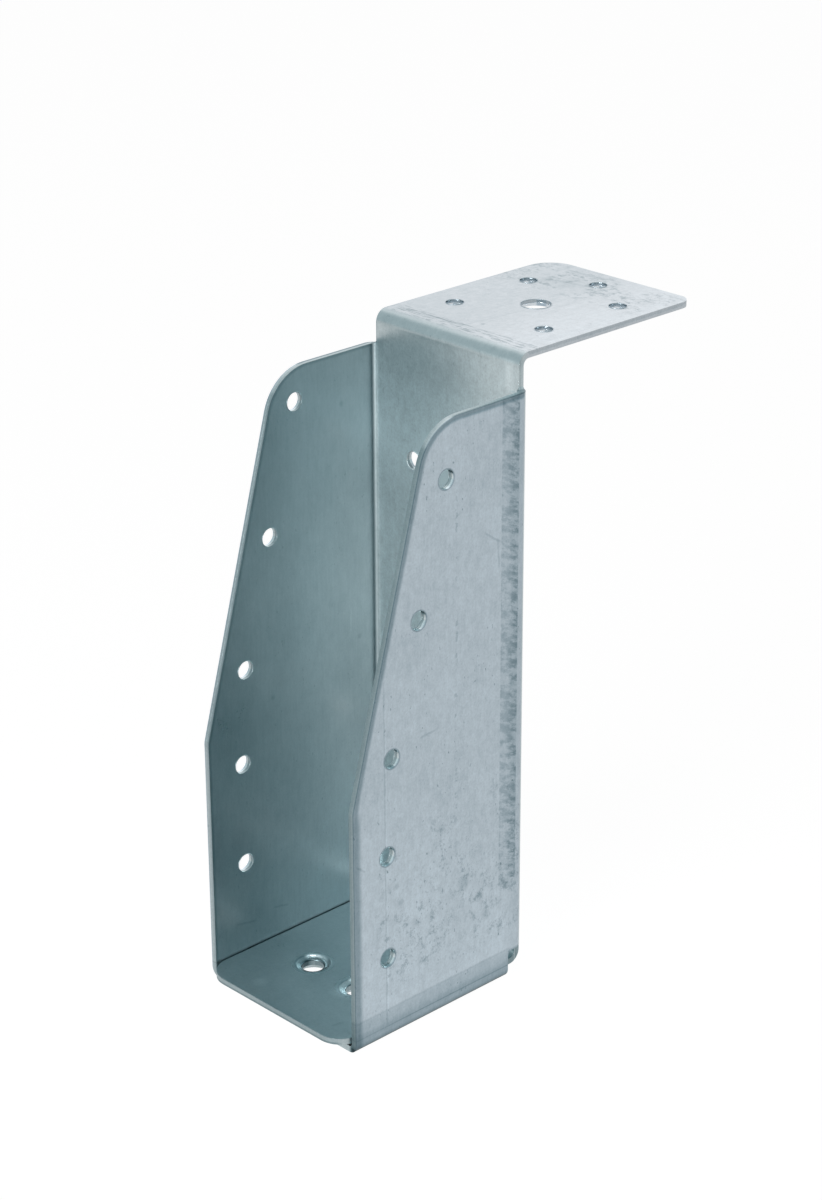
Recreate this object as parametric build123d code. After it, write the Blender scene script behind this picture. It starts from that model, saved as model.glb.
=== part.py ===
"""Joist hanger with a lip that hooks over the header, folded from one blank.

Frame: X across the joist, +Y towards the header, +Z up, in millimetres.
Origin: the middle of the width, on the plane of the rear face that bears on
the header, level with the top of the seat that carries the joist.
"""
import os

from build123d import *

# The sheet and its folds
SHEET = 1.5  # thickness of the galvanised sheet
FOLD = 1.5  # inside radius of the folds of the sides, seat and lip
FLAP_FOLD = 0.8  # inside radius where the flaps tuck under the seat

# The joist that the hanger carries
JOIST_WIDTH = 46.0
JOIST_HEIGHT = 146.0  # from the seat to the underside of the lip
JOIST_CLEARANCE = 0.4  # room between the side plates beyond the joist's width

# Side plates, measured from the rear face and, at the knee, from the seat
SIDE_DEPTH = 53.5  # at the lower, upright part of the front edge
TOP_DEPTH = 30.8  # where the slanted front edge would meet the top edge
SIDE_DROP = 6.5  # of the top edge under the underside of the lip
KNEE_HEIGHT = 56.7  # where the front edge turns from upright to slanted
TOP_CORNER = 12.0  # radius between the slanted edge and the top edge
KNEE_CORNER = 4.0

# Lip over the header
LIP_LENGTH = 55.0  # beyond the rear face
LIP_SHOULDER = 0.9  # the lip is this much narrower than the inner width, each side
SHOULDER_CORNER = 0.7
LIP_LEFT_CORNER = 7.0
LIP_RIGHT_CORNER = 3.5

# Seat under the joist, and the two flaps of the side plates under the seat
SEAT_LENGTH = 57.0  # from the rear face
SEAT_GAP = 0.3  # between the seat's edge and each side plate
SEAT_CORNER = 6.0
FLAP_GAP = 0.5  # between the seat and the flaps
FLAP_SPLIT = 4.0  # between the tips of the two flaps
FLAP_CORNER = 5.0

# Relief notch at the lower rear corner of each side plate
NOTCH_DEPTH = 5.4  # from the rear face
NOTCH_HEIGHT = 3.5  # above the seat
NOTCH_CORNER = 1.2

# Two drawn eyelets that lock the seat into the flaps
EYELET_SPACING = 15.0
EYELET_SETBACK = 37.4  # from the rear face
EYELET_MOUTH = 8.8  # across the dish that drawing leaves in the seat's top
EYELET_DISH = 0.65  # depth of that dish
EYELET_BORE = 5.2
EYELET_ROLL = 0.4  # radius from the dish into the bore
EYELET_REACH = 0.4  # how far the collar enters the flap
EYELET_GRIP = 0.05  # how far the collar bites into the wall of the flap's hole

# Nail and screw holes
NAIL_HOLE = 4.5
LIP_NAIL_HOLE = 4.3
LIP_SCREW_HOLE = 7.2

# Holes in the side plates: a row along the slanted edge and a row up the front
SLANT_NAILS = 3
SLANT_NAIL_PITCH = 30.0  # measured upright
SLANT_NAIL_DROP = 10.8  # from the top edge to the first hole
SLANT_NAIL_MARGIN = 8.2  # from the slanted edge, measured level
FRONT_NAILS = 2
FRONT_NAIL_PITCH = 25.4
FRONT_NAIL_HEIGHT = 20.1  # of the lowest hole, above the seat
FRONT_NAIL_MARGIN = 9.9  # from the front edge
NAIL_STAGGER = 5.4  # left holes above right ones, so that facing nails miss

# Holes in the back plate: two pairs
BACK_NAIL_SPACING = 20.6
BACK_NAIL_DROP = 24.9  # from the side plates' top edge to the upper pair
BACK_NAIL_PITCH = 69.6

# Holes in the lip: four round a screw hole, and one beyond them
LIP_NAIL_SPACING = 27.8
LIP_NAIL_START = 15.0  # from the rear face to the first pair
LIP_NAIL_PITCH = 24.0
LIP_END_MARGIN = 7.4  # from the lip's end to the single hole

# What follows from them
inner = (JOIST_WIDTH + JOIST_CLEARANCE) / 2  # half width between the side plates
outer = inner + SHEET
seat_half = inner - SEAT_GAP
lip_half = inner - LIP_SHOULDER
lip_top = JOIST_HEIGHT + SHEET
side_top = JOIST_HEIGHT - SIDE_DROP
flap_top = -SHEET - FLAP_GAP
base = flap_top - SHEET
collar_radius = EYELET_BORE / 2 + SHEET  # the drawn sheet keeps its thickness


def folded(plane, line, radii, amount, both=False):
    """Sheet folded along a line of its near face and thickened to the left of it."""
    near_face = FilletPolyline(*line, radius=radii)
    section = make_face(offset(near_face, amount=SHEET, side=Side.LEFT).edges())
    return extrude(plane * section, amount=amount, both=both)


def outline(plane, corners, radii, amount):
    """Prism through everything, from an outline whose named corners are rounded."""
    face = make_face(Polyline(*corners, close=True))
    for corner, radius in radii:
        face = fillet(face.vertices().sort_by_distance(corner)[0], radius)
    return extrude(plane * face, amount=amount, both=True)


def hole(centre, direction, diameter):
    """Punched hole through the one sheet whose middle is at the centre."""
    return Plane(origin=centre, z_dir=direction) * Cylinder(diameter / 2, 3 * SHEET)


def side_depth(height):
    """Distance from the rear face to a side plate's front edge at a height."""
    slant = (height - KNEE_HEIGHT) / (side_top - KNEE_HEIGHT)
    return SIDE_DEPTH + (TOP_DEPTH - SIDE_DEPTH) * max(slant, 0)


def channel():
    """Back and side plates: a U seen from above."""
    line = [(-inner, -SIDE_DEPTH), (-inner, -SHEET), (inner, -SHEET), (inner, -SIDE_DEPTH)]
    return folded(Plane.XY.offset(flap_top + FLAP_FOLD), line, FOLD, lip_top)


def flap():
    """Foot of the right side plate, turned in under the seat: an L from the front."""
    line = [(inner, NOTCH_HEIGHT), (inner, flap_top), (FLAP_SPLIT / 2, flap_top)]
    foot = Pos(0, -NOTCH_DEPTH, 0) * folded(Plane.XZ, line, FLAP_FOLD, SIDE_DEPTH - NOTCH_DEPTH)
    tips = foot.edges().filter_by(Axis.Z).group_by(Axis.X)[0]
    return fillet(tips, FLAP_CORNER)


def side_outline():
    """What the side plates keep, from the side: notch, upright and slanted edges."""
    corners = [
        (SHEET, NOTCH_HEIGHT),
        (SHEET, side_top),
        (-TOP_DEPTH, side_top),
        (-SIDE_DEPTH, KNEE_HEIGHT),
        (-SIDE_DEPTH, base - SHEET),
        (-NOTCH_DEPTH, base - SHEET),
        (-NOTCH_DEPTH, NOTCH_HEIGHT),
    ]
    radii = [(corners[2], TOP_CORNER), (corners[3], KNEE_CORNER), (corners[6], NOTCH_CORNER)]
    return outline(Plane.YZ, corners, radii, 2 * outer)


def shoulders():
    """Rounded inner corners where the back narrows to the lip's width."""
    corner = Pos(lip_half + SHOULDER_CORNER, side_top + SHOULDER_CORNER)
    web = corner * Rectangle(SHOULDER_CORNER, SHOULDER_CORNER, align=Align.MAX)
    right = extrude(Plane.XZ * (web - corner * Circle(SHOULDER_CORNER)), amount=SIDE_DEPTH)
    return channel() & (right + mirror(right, about=Plane.YZ))


def lip():
    """Free top of the back plate, folded over to lie on the header."""
    line = [(LIP_LENGTH, lip_top), (-SHEET, lip_top), (-SHEET, side_top)]
    strip = folded(Plane.YZ, line, FOLD + SHEET, lip_half, both=True)
    for end, radius in ((-1, LIP_RIGHT_CORNER), (0, LIP_LEFT_CORNER)):
        corner = strip.edges().filter_by(Axis.Z).group_by(Axis.Y)[-1].sort_by(Axis.X)[end]
        strip = fillet(corner, radius)
    return strip


def seat():
    """Foot of the back plate, folded forward to carry the joist."""
    line = [(-SHEET, NOTCH_HEIGHT), (-SHEET, 0), (-SEAT_LENGTH, 0)]
    strip = folded(Plane.YZ, line, FOLD, seat_half, both=True)
    return fillet(strip.edges().filter_by(Axis.Z).group_by(Axis.Y)[0], SEAT_CORNER)


def eyelet_punch():
    """The opening of a drawn eyelet: a dish that rolls into a straight bore."""
    corners = [
        (0, 0),
        (EYELET_MOUTH / 2, 0),
        (EYELET_BORE / 2, -EYELET_DISH),
        (EYELET_BORE / 2, flap_top - EYELET_REACH),
        (0, flap_top - EYELET_REACH),
    ]
    face = make_face(Polyline(*corners, close=True))
    face = fillet(face.vertices().sort_by_distance(corners[2])[0], EYELET_ROLL)
    return revolve(Plane.XZ * face, axis=Axis.Z)


def collar():
    """Outside of a drawn eyelet, from inside the seat down into the flap."""
    height = SHEET / 2 + FLAP_GAP + EYELET_REACH
    return Pos(0, 0, height / 2 + flap_top - EYELET_REACH) * Cylinder(collar_radius, height)


def nail_holes():
    """Every punched hole of the two side plates, the back plate and the lip."""
    rows = []
    for row in range(SLANT_NAILS):
        height = side_top - SLANT_NAIL_DROP - row * SLANT_NAIL_PITCH
        rows.append((side_depth(height) - SLANT_NAIL_MARGIN, height))
    for row in range(FRONT_NAILS):
        rows.append((SIDE_DEPTH - FRONT_NAIL_MARGIN, FRONT_NAIL_HEIGHT + row * FRONT_NAIL_PITCH))

    holes = []
    plate = inner + SHEET / 2
    for depth, height in rows:
        for side in (-1, 1):
            centre = (side * plate, -depth, height - side * NAIL_STAGGER / 2)
            holes.append(hole(centre, (1, 0, 0), NAIL_HOLE))

    for side in (-1, 1):
        for row in range(2):
            height = side_top - BACK_NAIL_DROP - row * BACK_NAIL_PITCH
            centre = (side * BACK_NAIL_SPACING / 2, -SHEET / 2, height)
            holes.append(hole(centre, (0, 1, 0), NAIL_HOLE))
            reach = LIP_NAIL_START + row * LIP_NAIL_PITCH
            centre = (side * LIP_NAIL_SPACING / 2, reach, lip_top - SHEET / 2)
            holes.append(hole(centre, (0, 0, 1), LIP_NAIL_HOLE))

    middle = LIP_NAIL_START + LIP_NAIL_PITCH / 2
    holes.append(hole((0, middle, lip_top - SHEET / 2), (0, 0, 1), LIP_SCREW_HOLE))
    end = LIP_LENGTH - LIP_END_MARGIN
    holes.append(hole((0, end, lip_top - SHEET / 2), (0, 0, 1), LIP_NAIL_HOLE))
    return holes


# Fold the blank: the sides with their flaps, then the lip and the seat.
right_flap = flap()
hanger = channel() + right_flap + mirror(right_flap, about=Plane.YZ)
hanger = hanger & side_outline()
hanger = hanger + shoulders() + lip() + seat()

# Draw the seat's two eyelets down into the holes of the flaps.
eyelets = [Pos(side * EYELET_SPACING / 2, -EYELET_SETBACK, 0) for side in (-1, 1)]
flap_hole = Pos(0, 0, base) * Cylinder(collar_radius - EYELET_GRIP, 2 * SHEET)
for place in eyelets:
    hanger = hanger - place * flap_hole + place * collar() - place * eyelet_punch()

# Punch the nail and screw holes.
for punched in nail_holes():
    hanger = hanger - punched

os.makedirs("parts", exist_ok=True)
export_step(hanger.solid(), "parts/joist_hanger.step")
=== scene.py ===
import math

import bmesh
import bpy
from mathutils import Matrix, Vector
from mathutils.bvhtree import BVHTree


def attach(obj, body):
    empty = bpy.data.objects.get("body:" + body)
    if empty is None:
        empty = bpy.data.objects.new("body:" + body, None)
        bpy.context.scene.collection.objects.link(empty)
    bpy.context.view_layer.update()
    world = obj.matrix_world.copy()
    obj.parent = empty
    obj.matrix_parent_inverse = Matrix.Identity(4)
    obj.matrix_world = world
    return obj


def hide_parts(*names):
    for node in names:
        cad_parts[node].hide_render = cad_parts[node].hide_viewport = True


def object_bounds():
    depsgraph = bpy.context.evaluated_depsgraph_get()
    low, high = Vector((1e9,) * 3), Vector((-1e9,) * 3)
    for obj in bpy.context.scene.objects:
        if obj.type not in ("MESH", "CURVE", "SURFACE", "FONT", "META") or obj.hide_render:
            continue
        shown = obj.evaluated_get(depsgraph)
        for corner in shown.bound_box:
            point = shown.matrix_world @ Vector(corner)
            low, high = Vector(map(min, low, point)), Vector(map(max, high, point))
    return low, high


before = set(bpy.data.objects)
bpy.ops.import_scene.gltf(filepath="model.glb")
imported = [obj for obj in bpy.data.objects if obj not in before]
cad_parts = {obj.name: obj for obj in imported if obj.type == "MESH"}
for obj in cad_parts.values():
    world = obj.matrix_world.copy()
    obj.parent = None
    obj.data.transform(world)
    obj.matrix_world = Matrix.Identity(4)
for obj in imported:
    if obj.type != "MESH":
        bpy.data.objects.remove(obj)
cad_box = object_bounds()

# ---------------------------------------------------------------------------
# The folded sheet: one blank of zinc-coated steel, 1.5 mm thick, punched in a
# press and then folded on a press brake. The punch drags the sheet's edges
# round on the side that it enters by, and leaves them crisp on the other.
SHEET = 0.0015
PUNCHED_SIDE_ROUNDING = 0.00032
OTHER_SIDE_ROUNDING = 0.0001
CRISP = -0.4  # how the crisp edges are painted: 0 is like the flats, 1 as dark as the roundings' painted shade, below 0 a painted highlight
SHARP_CORNER = math.radians(35)  # edges that turn more than this are cut or punched
SHADED_SHARP = math.radians(40)  # edges that turn more than this stay sharp to the eye
FLAT_ENOUGH = math.radians(0.4)
SAME_SPOT = 0.000001
OUTSIDE = 0.0247  # of the side plates, from the middle
INSIDE = 0.0232
BACK_FACE = -0.0015
LIP_UNDERSIDE = 0.146
LIP_FACE = 0.1475
ROOM = 0.00002  # how near a point must be to a face to count as on it
SQUARE_ON = 0.999  # how much of its length a face's normal has along the axis that it looks along

# The punched holes: each one's middle on the face that the punch broke out of,
# the way that face looks, and its radius.
SLANT_DEPTHS = (0.0256, 0.0338, 0.0420)  # of the three upper holes, from the rear face
SLANT_HEIGHTS = (0.1287, 0.0987, 0.0687)
FRONT_DEPTH = 0.0436
FRONT_HEIGHTS = (0.0455, 0.0201)
STAGGER = 0.0027  # left holes higher and right holes lower by this
BACK_HEIGHTS = (0.1146, 0.0450)
BACK_HALF_SPACING = 0.0103
LIP_REACHES = (0.015, 0.039)  # from the rear face
LIP_HALF_SPACING = 0.0139
SCREW_REACH = 0.027
LAST_REACH = 0.0476
NAIL_BORE = 0.00225
LIP_NAIL_BORE = 0.00215
SCREW_BORE = 0.0036
LIP_TURN = 0.4  # what the walls of the lip's holes count as, of the scale in round_a_hole
side_rows = list(zip(SLANT_DEPTHS, SLANT_HEIGHTS)) + [(FRONT_DEPTH, level) for level in FRONT_HEIGHTS]
holes = []
for depth, level in side_rows:
    holes.append(((INSIDE, -depth, level - STAGGER), (-1, 0, 0), NAIL_BORE))
    holes.append(((-INSIDE, -depth, level + STAGGER), (1, 0, 0), NAIL_BORE))
for side in (-1, 1):
    for level in BACK_HEIGHTS:
        holes.append(((side * BACK_HALF_SPACING, BACK_FACE, level), (0, -1, 0), NAIL_BORE))
    for reach in LIP_REACHES:
        holes.append(((side * LIP_HALF_SPACING, reach, LIP_FACE), (0, 0, 1), LIP_NAIL_BORE))
holes.append(((0, SCREW_REACH, LIP_FACE), (0, 0, 1), SCREW_BORE))
holes.append(((0, LAST_REACH, LIP_FACE), (0, 0, 1), LIP_NAIL_BORE))

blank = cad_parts["joist_hanger"]
hanger = bpy.data.objects.new("hanger_sheet", blank.data.copy())
bpy.context.scene.collection.objects.link(hanger)

sheet = bmesh.new()
sheet.from_mesh(hanger.data)
bmesh.ops.remove_doubles(sheet, verts=sheet.verts, dist=SAME_SPOT)
bmesh.ops.dissolve_limit(sheet, angle_limit=FLAT_ENOUGH, verts=sheet.verts, edges=sheet.edges)


def on_punched_side(face):
    """Whether a flat of the sheet is on the side that the punch went in by."""
    way = face.normal
    at = face.verts[0].co
    down = way.z < -SQUARE_ON
    side_plate = abs(way.x) > SQUARE_ON and abs(at.x) > OUTSIDE - ROOM
    rear = way.y > SQUARE_ON and abs(at.y) < ROOM
    under_lip = down and abs(at.z - LIP_UNDERSIDE) < ROOM
    under_seat = down and abs(at.z + SHEET) < ROOM
    under_flaps = down and at.z < cad_box[0][2] + ROOM
    return side_plate or rear or under_lip or under_seat or under_flaps


def sharp_edges():
    """The sheet's edges that a cutting edge left, as they are now."""
    return [edge for edge in sheet.edges if edge.is_manifold and edge.calc_face_angle() > SHARP_CORNER]


def round_a_hole(point):
    """2 at the top of an upright hole's wall, 0 at its foot, and None off every wall."""
    for middle, way, radius in holes:
        off = point - Vector(middle)
        if abs(off.dot(Vector(way))) < 2 * SHEET and off.cross(Vector(way)).length < radius + 5 * ROOM:
            return LIP_TURN if way[2] else 1.0 + off.z / radius
    return None


# A face of the sheet has the other face one thickness behind it; a cut edge has not.
# It is looked for from the middle of each face's largest triangle.
LOOK_THROUGH = 0.01
THICKNESS_ERROR = 0.0003
tree = BVHTree.FromBMesh(sheet)
cut_edge = sheet.faces.layers.float.new("cut_edge")
hole_wall = sheet.faces.layers.float.new("hole_wall")
hole_turn = sheet.faces.layers.float.new("hole_turn")
inside = {}
for loops in sheet.calc_loop_triangles():
    a, b, c = (loop.vert.co for loop in loops)
    area = (b - a).cross(c - a).length
    if area > inside.get(loops[0].face, (0, None))[0]:
        inside[loops[0].face] = (area, (a + b + c) / 3)
for face, (area, middle) in inside.items():
    hit = tree.ray_cast(middle - face.normal * ROOM, -face.normal, LOOK_THROUGH)
    face[cut_edge] = 0.0 if hit[0] and abs(hit[3] + ROOM - SHEET) < THICKNESS_ERROR else 1.0
    turn = round_a_hole(middle) if face[cut_edge] else None
    face[hole_wall] = 0.0 if turn is None else 1.0
    face[hole_turn] = turn or 0.0

punched = [edge for edge in sharp_edges() if any(on_punched_side(face) for face in edge.link_faces)]
rounding = sheet.faces.layers.float.new("rounding")
arc = {"profile": 0.5, "affect": "EDGES", "clamp_overlap": True}
rounded = bmesh.ops.bevel(sheet, geom=punched, offset=PUNCHED_SIDE_ROUNDING, segments=3, **arc)
for face in rounded["faces"]:
    face[rounding] = 1.0
crisp = bmesh.ops.bevel(sheet, geom=sharp_edges(), offset=OTHER_SIDE_ROUNDING, segments=2, **arc)
for face in crisp["faces"]:
    face[rounding] = CRISP
sheet.to_mesh(hanger.data)
sheet.free()
hanger.data.shade_smooth()
hanger.data.set_sharp_from_angle(angle=SHADED_SHARP)

# The flats keep their own normals, so that only the folds and the roundings shade as curved.
flats = hanger.modifiers.new("flats", "WEIGHTED_NORMAL")
flats.keep_sharp = True
flats.weight = 100
settled = bpy.data.meshes.new_from_object(hanger.evaluated_get(bpy.context.evaluated_depsgraph_get()))
hanger.modifiers.clear()
hanger.data = settled


# ---------------------------------------------------------------------------
# The zinc coat: rolled and dipped, cool grey with a faint cloud and grain. The
# cut edges are bare steel that has dulled, and the punched holes and folds
# carry the press's marks. The coat also carries painted light and shade, each
# place of it marked below.
class Shade:
    """A value in a material's node tree, so that its maths reads as plain sums."""

    def __init__(self, tree, socket):
        self.tree = tree
        self.socket = socket

    def node(self, kind, output, settings=None, **inputs):
        """Any node of this tree, with its settings and inputs, as the named output."""
        made = self.tree.nodes.new(kind)
        for name, value in (settings or {}).items():
            setattr(made, name, value)
        for name, value in inputs.items():
            key = int(name[1:]) if name[1:].isdigit() else name.replace("_", " ")
            socket = made.inputs[key]
            if isinstance(value, Shade):
                self.tree.links.new(value.socket, socket)
            else:
                socket.default_value = value
        return Shade(self.tree, made.outputs[output])

    def maths(self, operation, *others):
        values = dict(zip(("i0", "i1", "i2"), (self, *others)))
        return self.node("ShaderNodeMath", 0, {"operation": operation}, **values)

    def __add__(self, other):
        return self.maths("ADD", other)

    def __sub__(self, other):
        return self.maths("SUBTRACT", other)

    def __mul__(self, other):
        return self.maths("MULTIPLY", other)

    def __neg__(self):
        return self.maths("MULTIPLY", -1.0)

    def __abs__(self):
        return self.maths("ABSOLUTE")

    __radd__ = __add__
    __rmul__ = __mul__

    def __rsub__(self, other):
        return -self + other

    def dot(self, way):
        """How far this place lies along a direction."""
        return self.node("ShaderNodeVectorMath", 1, {"operation": "DOT_PRODUCT"}, i0=self, i1=tuple(way))

    def ramp(self, low, high):
        """0 at low, 1 at high, smooth between; low may be the larger."""
        smooth = {"interpolation_type": "SMOOTHSTEP"}
        return self.node("ShaderNodeMapRange", 0, smooth, Value=self, From_Min=low, From_Max=high)

    def band(self, low, high, soft):
        """1 between low and high, falling off over soft beyond them."""
        return self.ramp(low - soft, low) * self.ramp(high + soft, high)


zinc = bpy.data.materials.new("galvanised_steel")
zinc.use_nodes = True
nodes = zinc.node_tree
metal = nodes.nodes["Principled BSDF"]
place = Shade(nodes, nodes.nodes.new("ShaderNodeTexCoord").outputs["Object"])
MILLIMETRES = 1000  # in a metre; the coat is worked out in millimetres from here on
spot = place.node("ShaderNodeVectorMath", 0, {"operation": "MULTIPLY"}, i0=place, i1=(MILLIMETRES,) * 3)
across = spot.node("ShaderNodeSeparateXYZ", 0, Vector=spot)
along, height = (Shade(nodes, way) for way in across.socket.node.outputs[1:])

SIDE_FACE = 24.7  # outside of the side plates, from the middle
INNER_FACE = 23.2
SIDE_TOP = 139.5
FRONT_EDGE = -53.5  # of the side plates
KNEE = 56.7  # where the front edge starts to slant
SLANT = 0.2742  # how far the slanted edge falls back per millimetre of height
SQUARE_TO_SLANT = 0.97  # distance square to the slanted edge, per millimetre measured level
CORNER_RADIUS = 12.0  # of the side plates' top corner, round the depth and height below
CORNER_DEPTH = -21.64
CORNER_HEIGHT = 127.5
FAR_OFF = 1000.0
LIP_BOTTOM = 146.0
LIP_TOP = 147.5
EYELET_ACROSS = 7.5
EYELET_DEPTH = -37.4


def stored(name):
    """A value that the sheet's faces carry."""
    return place.node("ShaderNodeAttribute", "Fac", {"attribute_name": name})


bare = stored("cut_edge")
bored = stored("hole_wall")
turned = stored("hole_turn")
rounded_over = stored("rounding")


def noise(grains, detail=3.0, seed=0.0, rough=0.5):
    """Noise with this many grains a millimetre along X, Y and Z."""
    start = (seed, seed * 1.7, -seed)
    shifted = spot.node("ShaderNodeMapping", 0, Vector=spot, Location=start, Scale=grains)
    return shifted.node("ShaderNodeTexNoise", 0, Vector=shifted, Scale=1.0, Detail=detail, Roughness=rough)


on_lip = along.ramp(-0.5, 2.0)  # elsewhere the plates stand upright
outside_right = across.ramp(24.3, 24.6)
inside_left = across.ramp(-22.9, -23.1) * across.ramp(-23.5, -23.3)
on_back = along.ramp(-1.7, -1.55) * along.ramp(-1.2, -1.4)
on_seat = height.band(-0.1, 0.1, 0.1) * along.ramp(-1.5, -4.0)
lip_top = height.ramp(147.2, 147.4)
rear = along.band(-0.1, 0.1, 0.2) * height.ramp(140, 137)
outside = abs(across).ramp(24.3, 24.6).maths("MAXIMUM", rear)

# The mill's rolling runs up the side plates and along the lip.
streaks_up = noise((1.3, 1.3, 0.16), 3, 3)
streaks_flat = noise((1.3, 0.16, 1.3), 3, 5)
streaks = streaks_up * (1.0 - on_lip) + streaks_flat * on_lip
clouds = noise((0.06, 0.06, 0.045), 4, 11, 0.6)
mottle = noise((0.5, 0.5, 0.4), 4, 17, 0.65)
grain = noise((2.2, 2.2, 1.8), 3, 23, 0.6)
worn = 0.55 + 0.45 * outside + 0.6 * on_back + 0.3 * lip_top
tone = 1.0 + (0.24 - 0.12 * lip_top) * (clouds - 0.5) + 0.14 * (streaks - 0.5)
tone = tone + 0.34 * worn * (mottle - 0.5) + 0.34 * worn * (grain - 0.5)

# Small dark pits, most of them on the right plate, and smudges low on it.
pits = noise((1.5, 1.5, 0.7), 2, 41).ramp(0.66, 0.73)
pits = pits * noise((0.1, 0.1, 0.08), 2, 43).ramp(0.42, 0.6)
tone = tone * (1.0 - pits * (0.16 + 0.3 * outside_right))
smudges = noise((0.32, 0.32, 0.3), 6, 47, 0.85).ramp(0.5, 0.64)
specks = noise((0.9, 0.9, 0.8), 3, 49, 0.7).ramp(0.6, 0.72)
low_down = height.ramp(58, 38) * height.ramp(5, 13) * along.ramp(-49, -44)
low_down = low_down * (0.3 + 0.7 * noise((0.09, 0.09, 0.08), 2, 51).ramp(0.4, 0.54))
tone = tone * (1.0 - (0.34 * smudges + 0.25 * specks) * low_down * outside_right)

# Outside of the right plate: the brake's die rubbed a torn strip beside the rear fold.
# Its tears fall toward the rear.
leaning = height + 0.39 * along
torn_at = place.node("ShaderNodeCombineXYZ", 0, X=along * 0.22, Y=leaning * 0.5, Z=3.1)
tears = place.node("ShaderNodeTexNoise", 0, Vector=torn_at, Scale=1.0, Detail=5.0, Roughness=0.72)
tears = tears.ramp(0.4, 0.62)
die_strip = along.band(-8.7, -3.6, 0.2) * height.band(24, 139, 4)
toward_fold = along.ramp(-7.5, -3.8)
rubbed = die_strip * (0.15 + 0.85 * tears) * (0.65 + 0.35 * toward_fold)
tone = tone * (1.0 - outside_right * (0.42 * rubbed + 0.1 * toward_fold))

# Where the flap turns under the seat the die left a line. Below it the right plate is painted darker
# toward the bottom, a painted shade where the sheet turns down into the bend.
die_line = height.band(4.2, 4.5, 0.35)
shade_below_line = 0.16 * height.ramp(4.7, 4.1) + 0.04 * height.ramp(4.1, 2.6) + 0.16 * height.ramp(2.2, 0.2)
shade_below_line = shade_below_line + 0.2 * height.ramp(-0.9, -2.2) + 0.3 * height.ramp(-2.0, -2.4)
line_reach = across.ramp(22.0, 23.5) * along.ramp(-4.0, -6.0)
tone = tone * (1.0 - line_reach * (shade_below_line + 0.06 * die_line))

# Behind the notch the folds get painted shade, where they lie back in the recess.
notch_shade = along.ramp(-5.6, -5.0) * height.ramp(4.4, 3.2) * height.ramp(-2.5, -1.0)
notch_shade = notch_shade * abs(across).ramp(21.0, 22.0)
tone = tone * (1.0 - 0.42 * notch_shade)

# How far a place on a side plate is from the plate's outline: its front and
# slanted edge, its top edge, and the round corner between them.
from_front = along - FRONT_EDGE - SLANT * (height - KNEE).maths("MAXIMUM", 0.0)
from_top = SIDE_TOP - height
behind = along - CORNER_DEPTH
above = height - CORNER_HEIGHT
in_corner = behind.ramp(0.0, -0.02) * (above + SLANT * behind).ramp(0.0, 0.02)
from_corner = CORNER_RADIUS - (behind * behind + above * above).maths("SQRT") + FAR_OFF * (1.0 - in_corner)
from_outline = (SQUARE_TO_SLANT * from_front).maths("MINIMUM", from_top).maths("MINIMUM", from_corner)

# The punch rolled the outline of the right plate over, and the tone is darker in a band along it, widest
# low down.
rolled_width = 1.5 + 1.1 * height.ramp(62, 52)
rolled_over = from_outline.maths("DIVIDE", rolled_width).ramp(1.0, 0.35)
tone = tone * (1.0 - 0.44 * outside_right * rolled_over)
tone = tone * (1.0 - 0.25 * inside_left * from_outline.ramp(0.9, 0.2))

# Painted light and shade inside the hanger: the left plate is painted brighter toward the rear fold and
# darker toward the front and the top; the back plate gets painted light, most in its upper middle and
# low on its right, less toward its upper left; the seat gets painted shade, most toward the back; the
# right plate's outside is painted a little brighter low down; and the turn from the back into the lip
# gets painted shade.
tone = tone * (1.0 + inside_left * (0.13 * along.ramp(-34, -12) - 0.05 * along.ramp(-36, -48)))
tone = tone * (1.0 - inside_left * (0.05 + 0.14 * height.ramp(20, 60) + 0.24 * height.ramp(85, 130)))
back_painted_light = 0.17 + 0.14 * height.ramp(105, 120) * height.ramp(138, 130)
back_painted_light = back_painted_light - (0.04 + 0.14 * height.ramp(112, 138)) * across.ramp(14, -6)
tone = tone * (1.0 + on_back * back_painted_light)
tone = tone * (1.0 - on_seat * (0.15 + 0.1 * along.ramp(-48, -34)))
tone = tone * (1.0 + 0.05 * outside_right * height.ramp(60, 30))
tone = tone * (1.0 + on_back * 0.3 * across.ramp(-13, 0) * height.ramp(126, 114))
tone = tone * (1.0 - 0.14 * height.band(145.2, 147.2, 1.5) * along.band(-1.6, -0.6, 0.8))

# The inside of the rear fold: painted shade on both sides of a thin painted highlight along it.
crease = across + along + (INNER_FACE + 1.5)
crease_shade = across.ramp(-21.2, -21.8) * along.ramp(-3.5, -2.9) * (1.0 - outside)
tone = tone * (1.0 - crease_shade * (0.36 * crease.band(-0.5, 0.8, 0.5) - 0.1 * crease.band(0.05, 0.3, 0.2)))


def scratch(face, start, end, width, darkness):
    """What a line drawn into one face's zinc does to its tone; below 0 it is brighter."""
    start, end = Vector(start), Vector(end)
    way = (end - start).normalized()
    looks = Vector((0, 0, 1)) if face in (lip_top, on_seat) else Vector((1, 0, 0))
    side = looks.cross(way)
    run = spot.dot(way) - way.dot(start)
    off = abs(spot.dot(side) - side.dot(start) + 0.5 * (mottle - 0.5))
    drawn = off.ramp(width, width * 0.2) * run.band(0.0, (end - start).length, 1.2)
    return 1.0 - darkness * drawn * face


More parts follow.
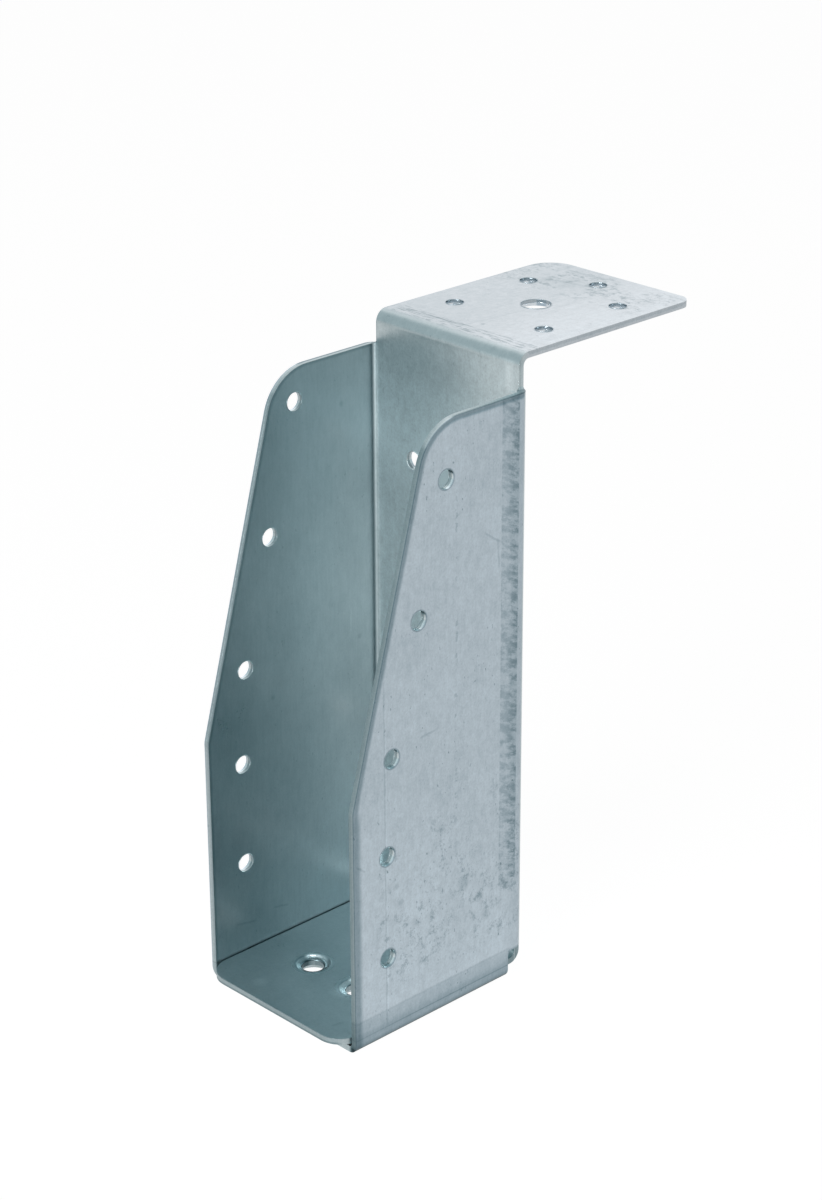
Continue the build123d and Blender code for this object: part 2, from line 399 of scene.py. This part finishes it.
SCRATCHES = (
    (outside_right, (SIDE_FACE, -44.3, 84.0), (SIDE_FACE, -44.1, 1.0), 0.3, 0.13),
    (outside_right, (SIDE_FACE, -43.8, 78.0), (SIDE_FACE, -43.6, 4.0), 0.3, -0.05),
    (outside_right, (SIDE_FACE, -13.2, 110.0), (SIDE_FACE, -9.6, 107.5), 0.4, 0.16),
    (outside_right, (SIDE_FACE, -9.9, 107.2), (SIDE_FACE, -9.5, 101.5), 0.4, 0.14),
    (outside_right, (SIDE_FACE, -32.9, 68.2), (SIDE_FACE, -29.0, 68.6), 0.4, 0.14),
    (outside_right, (SIDE_FACE, -52.3, 43.2), (SIDE_FACE, -50.8, 42.0), 0.4, 0.16),
    (lip_top, (-0.5, 4.9, LIP_TOP), (1.3, 21.5, LIP_TOP), 0.4, 0.07),
    (lip_top, (-13.5, 3.8, LIP_TOP), (-1.0, 4.3, LIP_TOP), 0.7, 0.1),
    (lip_top, (-9.0, 44.0, LIP_TOP), (0.5, 45.0, LIP_TOP), 0.8, 0.1),
    (lip_top, (-12.5, 51.4, LIP_TOP), (-2.0, 51.8, LIP_TOP), 1.0, 0.14),
    (inside_left, (-INNER_FACE, -34.8, 7.6), (-INNER_FACE, -31.5, 6.9), 0.4, 0.13),
    (inside_left, (-INNER_FACE, -46.3, 7.4), (-INNER_FACE, -41.8, 6.5), 0.4, 0.15),
    (inside_left, (-INNER_FACE, -9.5, 76.0), (-INNER_FACE, -9.6, 71.5), 0.3, -0.14),
    (on_seat, (16.0, -52.2, 0.0), (16.4, -50.6, 0.0), 0.6, 0.12),
)
for mark in SCRATCHES:
    tone = tone * scratch(*mark)


def fleck(face, middle, radius, darkness):
    """What a soft round mark on one face does to its tone; below 0 it is brighter."""
    away = place.node("ShaderNodeVectorMath", 1, {"operation": "DISTANCE"}, i0=spot, i1=middle)
    return 1.0 - darkness * away.ramp(radius, radius * 0.2) * face


FLECKS = (
    (outside_right, (SIDE_FACE, -20.0, 27.2), 2.6, 0.14),
    (outside_right, (SIDE_FACE, -15.2, 21.9), 2.4, 0.12),
    (outside_right, (SIDE_FACE, -13.2, 16.7), 2.2, 0.12),
    (outside_right, (SIDE_FACE, -39.6, 29.9), 1.4, 0.18),
    (outside_right, (SIDE_FACE, -35.0, 23.0), 1.8, 0.12),
    (outside_right, (SIDE_FACE, -41.0, 34.3), 1.2, 0.14),
    (inside_left, (-INNER_FACE, -6.8, 68.9), 1.0, 0.14),
    (inside_left, (-INNER_FACE, -11.6, 127.5), 1.1, 0.16),
    (inside_left, (-INNER_FACE, -34.0, 61.9), 0.9, 0.14),
    # The two seat marks below 0 are painted highlights: the glint of a small dent and of the second
    # eyelet's dish.
    (on_seat, (-9.8, -51.8, 0.0), 2.6, -0.16),
    (on_seat, (6.6, -41.2, 0.0), 3.6, -0.26),
    (lip_top, (-5.2, 43.6, LIP_TOP), 6.0, 0.08),
    (lip_top, (-11.0, 42.3, LIP_TOP), 4.0, 0.08),
    (lip_top, (3.0, 43.2, LIP_TOP), 4.0, 0.06),
    (lip_top, (16.5, 45.2, LIP_TOP), 3.5, 0.07),
    (lip_top, (2.0, 8.1, LIP_TOP), 0.7, 0.25),
)
for mark in FLECKS:
    tone = tone * fleck(*mark)

# A fine ring round each hole of the right plate is painted darker, a painted shade for the rim that the
# punch rolled.
for depth, level in side_rows:
    centre = (SIDE_FACE, -MILLIMETRES * depth, MILLIMETRES * (level - STAGGER))
    away = place.node("ShaderNodeVectorMath", 1, {"operation": "DISTANCE"}, i0=spot, i1=centre)
    tone = tone * (1.0 - 0.34 * away.band(2.15, 2.4, 0.25) * outside_right)

# A broken line of small dashes up the middle of the right plate.
dashes = noise((0.5, 0.5, 0.7), 3, 53).ramp(0.55, 0.62) * height.band(48, 118, 8)
dashes = abs(along + 22.5 + 2.0 * (mottle - 0.5)).ramp(0.5, 0.1) * dashes
tone = tone * (1.0 - 0.2 * dashes * outside_right)

# The lip: brighter toward its far right, with scuffs along its far half and beside the fold.
tone = tone * (1.0 + lip_top * (0.15 * across.ramp(-6, 20) - 0.06 - 0.02 * along.ramp(22, 3)))
scuffs = noise((0.4, 0.6, 0.4), 5, 61, 0.75).ramp(0.47, 0.63) * along.band(40, 50, 7)
scuffs = scuffs * noise((0.12, 0.12, 0.1), 2, 65).ramp(0.4, 0.54)
by_fold = noise((0.2, 1.5, 0.4), 5, 63, 0.75).ramp(0.48, 0.6) * along.band(1.8, 4.6, 1.4)
tone = tone * (1.0 - (0.34 * scuffs + 0.42 * by_fold) * lip_top)

# Drawing burnished the seat round the eyelets, so it is smoother there. The slope at the far side
# of each dish gets a painted highlight, and its near side and bore get painted shade, weaker at the
# second eyelet. Distances here are squared.
from_middle = abs(across) - EYELET_ACROSS
from_depth = along - EYELET_DEPTH
to_eyelet = from_middle * from_middle + from_depth * from_depth
burnished = to_eyelet.ramp(30.0, 17.0) * height.band(-2.0, 0.05, 0.1)
toward_back = along.ramp(-37.0, -35.4)
far_slope_highlight = burnished * to_eyelet.ramp(22.0, 17.0) * toward_back * height.ramp(-0.6, -0.3)
dish = to_eyelet.ramp(21.0, 17.0) * height.band(-2.0, -0.02, 0.03) * (1.0 - 0.6 * across.ramp(-1, 1))
shaded = 0.38 * (1.0 - toward_back) + 0.42 * height.ramp(-0.35, -0.65)
tone = tone * (1.0 - dish * shaded) + 0.6 * far_slope_highlight

# Cut edges: the punch's smooth cut, then the torn part of the thickness, dulled
# most on the right plate. The walls of the holes are brightest at their foot.
edge = bare * (1.0 - bored)
on_side = abs(across).ramp(22.9, 23.1)
elsewhere = (height - LIP_BOTTOM) * on_lip - along * (1.0 - on_lip)
through = (SIDE_FACE - abs(across)) * on_side + elsewhere * (1.0 - on_side)
torn = (through + 0.5 * (noise((1.0, 1.0, 1.0), 2, 71) - 0.5)).ramp(0.65, 0.8)
edge_lines = noise((1.4, 4.0, 4.0), 2, 73) * (1.0 - on_lip) + noise((4.0, 4.0, 1.4), 2, 79) * on_lip
tone = tone * (1.0 + bare * (0.3 * (edge_lines - 0.5) - 0.12 * torn))
at_front = from_front.ramp(1.2, 0.4) * height.ramp(138.5, 136.0)
dulled = at_front * 0.4 * across.ramp(22.6, 22.9)
dulled = dulled + at_front * across.ramp(-22.6, -22.9) * (0.14 + 0.16 * height.ramp(52, 60))
dulled = dulled + 0.5 * from_top.ramp(0.3, 0.05) * abs(across).ramp(23.8, 24.3)
dulled = dulled + along.ramp(-54.5, -56.0) * (0.16 + 0.3 * height.ramp(-0.8, -1.2))
tone = tone * (1.0 - edge * dulled)
# Painted light on the holes' walls, strongest on the lip and the right plate, and painted shade toward the
# top of each upright wall, where it faces down.
wall_painted_light = 0.25 + 0.4 * on_lip + 0.4 * across.ramp(18, 21)
tone = tone * (1.0 + bored * (wall_painted_light - (0.15 + 0.5 * wall_painted_light) * turned)) * (1.0 - 0.4 * bored * torn)

# The roundings are painted darker: painted shade that draws them as thin dark outlines of every plate and
# hole.
tone = tone * (1.0 - 0.52 * rounded_over)

BRIGHTEST = 1.35  # metal can send back no more light than it gets
DARKEST = 0.06
tone = tone.maths("MINIMUM", BRIGHTEST).maths("MAXIMUM", DARKEST)

# The zinc goes bluer as it goes duller, and is bluest on the outside.
# Darker tone, painted shade with it, is turned bluer, and the coat is tinted bluest on the outside and
# warmest on the lip.
REDS_FALL = 0.23
BLUES_FALL = -0.06
ZINC = (0.617, 0.70, 0.72, 1)
OUTSIDE_ZINC = (0.603, 0.70, 0.768, 1)
LIP_ZINC = (0.652, 0.70, 0.742, 1)
coat = place.node("ShaderNodeMix", 2, {"data_type": "RGBA"}, i0=outside, i6=ZINC, i7=OUTSIDE_ZINC)
coat = place.node("ShaderNodeMix", 2, {"data_type": "RGBA"}, i0=on_lip, i6=coat, i7=LIP_ZINC)
tint = tone.maths("MINIMUM", 1.0)
red = tone * tint.maths("POWER", REDS_FALL)
blue = tone * tint.maths("POWER", BLUES_FALL)
dimmed = place.node("ShaderNodeCombineXYZ", 0, X=red, Y=tone, Z=blue)
toned = place.node("ShaderNodeVectorMath", 0, {"operation": "MULTIPLY"}, i0=coat, i1=dimmed)
nodes.links.new(toned.socket, metal.inputs["Base Color"])
dull = 0.31 + 0.12 * (clouds - 0.5) + 0.1 * (grain - 0.5) + 0.07 * edge - 0.12 * burnished - 0.1 * bored
dull = dull + 0.12 * outside_right * rubbed + 0.25 * rounded_over
nodes.links.new(dull.socket, metal.inputs["Roughness"])
metal.inputs["Metallic"].default_value = 1.0

# Relief, in millimetres: waves left by coiling, grain, the rolled-over edge and the die's line.
waves = noise((0.035, 0.035, 0.03), 2, 89)
at_right = across.ramp(18, 21)
relief = 0.35 * waves + 0.012 * grain + 0.012 * streaks - 0.03 * pits * outside_right
relief = relief - at_right * (0.02 * rubbed + 0.15 * rolled_over * rolled_over)
relief = relief - 0.06 * line_reach * height.ramp(4.6, 4.0)
relief = relief - 0.03 * bare * torn - 0.5 * far_slope_highlight * to_eyelet.ramp(19.0, 7.0)
bumps = place.node("ShaderNodeBump", 0, Height=relief, Distance=1 / MILLIMETRES, Strength=1.0)
nodes.links.new(bumps.socket, metal.inputs["Normal"])

hanger.data.materials.clear()
hanger.data.materials.append(zinc)
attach(hanger, "root")
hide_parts("joist_hanger")

# ---------------------------------------------------------------------------
# The burrs: where the punch broke through, each hole keeps a fine raised rim of
# the sheet's own steel, a tenth of a millimetre high, on the inner faces of the
# plates and on top of the lip.
BURR = 0.0001
BURR_LOOK = 0.2  # on the scale of CRISP
RING_STEPS = 40

seeds = bpy.data.meshes.new("hole_burrs")
seeds.from_pydata([middle for middle, way, radius in holes], [], [])
facing = seeds.attributes.new("facing", "FLOAT_VECTOR", "POINT")
for index, (middle, way, radius) in enumerate(holes):
    facing.data[index].vector = way
bore = seeds.attributes.new("bore", "FLOAT", "POINT")
for index, (middle, way, radius) in enumerate(holes):
    bore.data[index].value = radius
burrs = bpy.data.objects.new("hole_burrs", seeds)
bpy.context.scene.collection.objects.link(burrs)

rim_maker = bpy.data.node_groups.new("burr round each hole", "GeometryNodeTree")
rim_maker.interface.new_socket("Holes", in_out="INPUT", socket_type="NodeSocketGeometry")
thick = rim_maker.interface.new_socket("Burr", in_out="INPUT", socket_type="NodeSocketFloat")
steps = rim_maker.interface.new_socket("Steps", in_out="INPUT", socket_type="NodeSocketInt")
finish = rim_maker.interface.new_socket("Finish", in_out="INPUT", socket_type="NodeSocketMaterial")
rim_maker.interface.new_socket("Rims", in_out="OUTPUT", socket_type="NodeSocketGeometry")
given = rim_maker.nodes.new("NodeGroupInput").outputs


def step(kind, settings=None, **inputs):
    """One geometry node, with its settings and its inputs by name."""
    made = rim_maker.nodes.new(kind)
    for name, value in (settings or {}).items():
        setattr(made, name, value)
    for name, value in inputs.items():
        socket = made.inputs[name.replace("_", " ")]
        if isinstance(value, bpy.types.NodeSocket):
            rim_maker.links.new(value, socket)
        else:
            socket.default_value = value
    return {socket.name: socket for socket in made.outputs if socket.enabled}


facing_read = step("GeometryNodeInputNamedAttribute", {"data_type": "FLOAT_VECTOR"}, Name="facing")
bore_read = step("GeometryNodeInputNamedAttribute", {"data_type": "FLOAT"}, Name="bore")
aimed = step("FunctionNodeAlignRotationToVector", {"axis": "Z"}, Vector=facing_read["Attribute"])
ring = step("GeometryNodeCurvePrimitiveCircle", Resolution=given["Steps"], Radius=1.0)
placed = step(
    "GeometryNodeInstanceOnPoints",
    Points=given["Holes"],
    Instance=ring["Curve"],
    Rotation=aimed["Rotation"],
    Scale=bore_read["Attribute"],
)
rings = step("GeometryNodeRealizeInstances", Geometry=placed["Instances"])
section = step("GeometryNodeCurvePrimitiveCircle", Resolution=8, Radius=given["Burr"])
swept = step("GeometryNodeCurveToMesh", Curve=rings["Geometry"], Profile_Curve=section["Curve"])
smooth = step("GeometryNodeSetShadeSmooth", Geometry=swept["Mesh"])
outlined = step(
    "GeometryNodeStoreNamedAttribute",
    {"data_type": "FLOAT", "domain": "FACE"},
    Geometry=smooth["Geometry"],
    Name="rounding",
    Value=BURR_LOOK,
)
joined = step("GeometryNodeRealizeInstances", Geometry=outlined["Geometry"])
coated = step("GeometryNodeSetMaterial", Geometry=joined["Geometry"], Material=given["Finish"])
result = rim_maker.nodes.new("NodeGroupOutput")
rim_maker.links.new(coated["Geometry"], result.inputs["Rims"])

rimming = burrs.modifiers.new("burrs", "NODES")
rimming.node_group = rim_maker
rimming[thick.identifier] = BURR
rimming[steps.identifier] = RING_STEPS
rimming[finish.identifier] = zinc
formed = bpy.data.meshes.new_from_object(burrs.evaluated_get(bpy.context.evaluated_depsgraph_get()))
burrs.modifiers.clear()
burrs.data = formed
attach(burrs, "root")

# ---------------------------------------------------------------------------
# The studio: a white floor, a white backdrop, soft lamps in front and overhead,
# and the camera where the photographer's was.
BASE = cad_box[0][2]
FLOOR_SEEN = 0.98  # how bright the floor is to the camera, where 1 is white
FLOOR_MIRRORED = 0.67  # and in the zinc
STUDIO_MIRRORED = (0.53, 0.6, 0.62)  # red, green and blue of the studio away from the backdrop
BACKDROP_WAY = (-0.69, 0.72, 0.0)
bpy.ops.mesh.primitive_plane_add(size=12, location=(0, 0, BASE))
floor = bpy.context.object
floor.name = "floor"
paper = bpy.data.materials.new("studio_paper")
paper.use_nodes = True
paper_nodes = paper.node_tree
matt = paper_nodes.nodes["Principled BSDF"]
matt.inputs["Base Color"].default_value = (0.15, 0.15, 0.15, 1)
matt.inputs["Roughness"].default_value = 1.0
matt.inputs["Specular IOR Level"].default_value = 0.0
matt.inputs["Emission Color"].default_value = (1, 1, 1, 1)
rays = paper_nodes.nodes.new("ShaderNodeLightPath").outputs
seen = Shade(paper_nodes, rays["Is Camera Ray"]) + Shade(paper_nodes, rays["Is Transmission Ray"])
glossy = Shade(paper_nodes, rays["Is Glossy Ray"])
glow = seen * FLOOR_SEEN + glossy * FLOOR_MIRRORED
paper_nodes.links.new(glow.socket, matt.inputs["Emission Strength"])
floor.data.materials.append(paper)

# The backdrop behind the hanger is white; the rest of the studio is dimmer.
world = bpy.data.worlds.new("studio")
bpy.context.scene.world = world
world.use_nodes = True
sky = world.node_tree
rays = sky.nodes.new("ShaderNodeLightPath").outputs
seen = Shade(sky, rays["Is Camera Ray"]) + Shade(sky, rays["Is Transmission Ray"])
glossy = Shade(sky, rays["Is Glossy Ray"])
outward = Shade(sky, sky.nodes.new("ShaderNodeTexCoord").outputs["Generated"])
backdrop = outward.dot(BACKDROP_WAY).ramp(0.2, 0.9)
red, green, blue = (seen + glossy * (dim + (1.0 - dim) * backdrop) for dim in STUDIO_MIRRORED)
light = outward.node("ShaderNodeCombineXYZ", 0, X=red, Y=green, Z=blue)
sky.links.new(light.socket, sky.nodes["Background"].inputs["Color"])

MIDDLE = Vector((0, 0, 0.06))


def lamp(name, at, size, power):
    """A square soft lamp, turned to the middle of the hanger."""
    light = bpy.data.lights.new(name, "AREA")
    light.size = size
    light.energy = power
    holder = bpy.data.objects.new(name, light)
    holder.location = at
    holder.rotation_euler = (MIDDLE - Vector(at)).to_track_quat("-Z", "Y").to_euler()
    bpy.context.scene.collection.objects.link(holder)


lamp("front", (0.1, -1.2, 0.3), 0.4, 4.0)
lamp("front_right", (0.4, -1.1, 0.15), 0.3, 4.0)
lamp("overhead", (0.15, -0.16, 1.1), 0.3, 0.6)

# Where the photographer stood: the camera's turn, height and distance.
AZIMUTH = math.radians(46.219)
ELEVATION = math.radians(23.252)
ROLL = math.radians(-0.270)
AIM = Vector((0, -0.020, 0.075))
DISTANCE = 0.641979
SHIFT_RIGHT = -0.005415
SHIFT_UP = -0.012974
FOCAL_PIXELS = 2857.129
PICTURE_HEIGHT = 1200
SENSOR = 36

back = Vector(
    (
        math.sin(AZIMUTH) * math.cos(ELEVATION),
        -math.cos(AZIMUTH) * math.cos(ELEVATION),
        math.sin(ELEVATION),
    )
)
level = Vector((math.cos(AZIMUTH), math.sin(AZIMUTH), 0))
upright = back.cross(level)
right = math.cos(ROLL) * level + math.sin(ROLL) * upright
up = math.cos(ROLL) * upright - math.sin(ROLL) * level
camera = bpy.data.objects.new("camera", bpy.data.cameras.new("camera"))
stand = AIM + back * DISTANCE - right * SHIFT_RIGHT - up * SHIFT_UP
camera.matrix_world = Matrix.Translation(stand) @ Matrix(
    (
        (right.x, up.x, back.x, 0),
        (right.y, up.y, back.y, 0),
        (right.z, up.z, back.z, 0),
        (0, 0, 0, 1),
    )
)
camera.data.sensor_width = SENSOR
camera.data.lens = FOCAL_PIXELS * SENSOR / PICTURE_HEIGHT
camera.data.clip_start = 0.05
bpy.context.scene.collection.objects.link(camera)
bpy.context.scene.camera = camera
bpy.context.scene.view_settings.view_transform = "Standard"
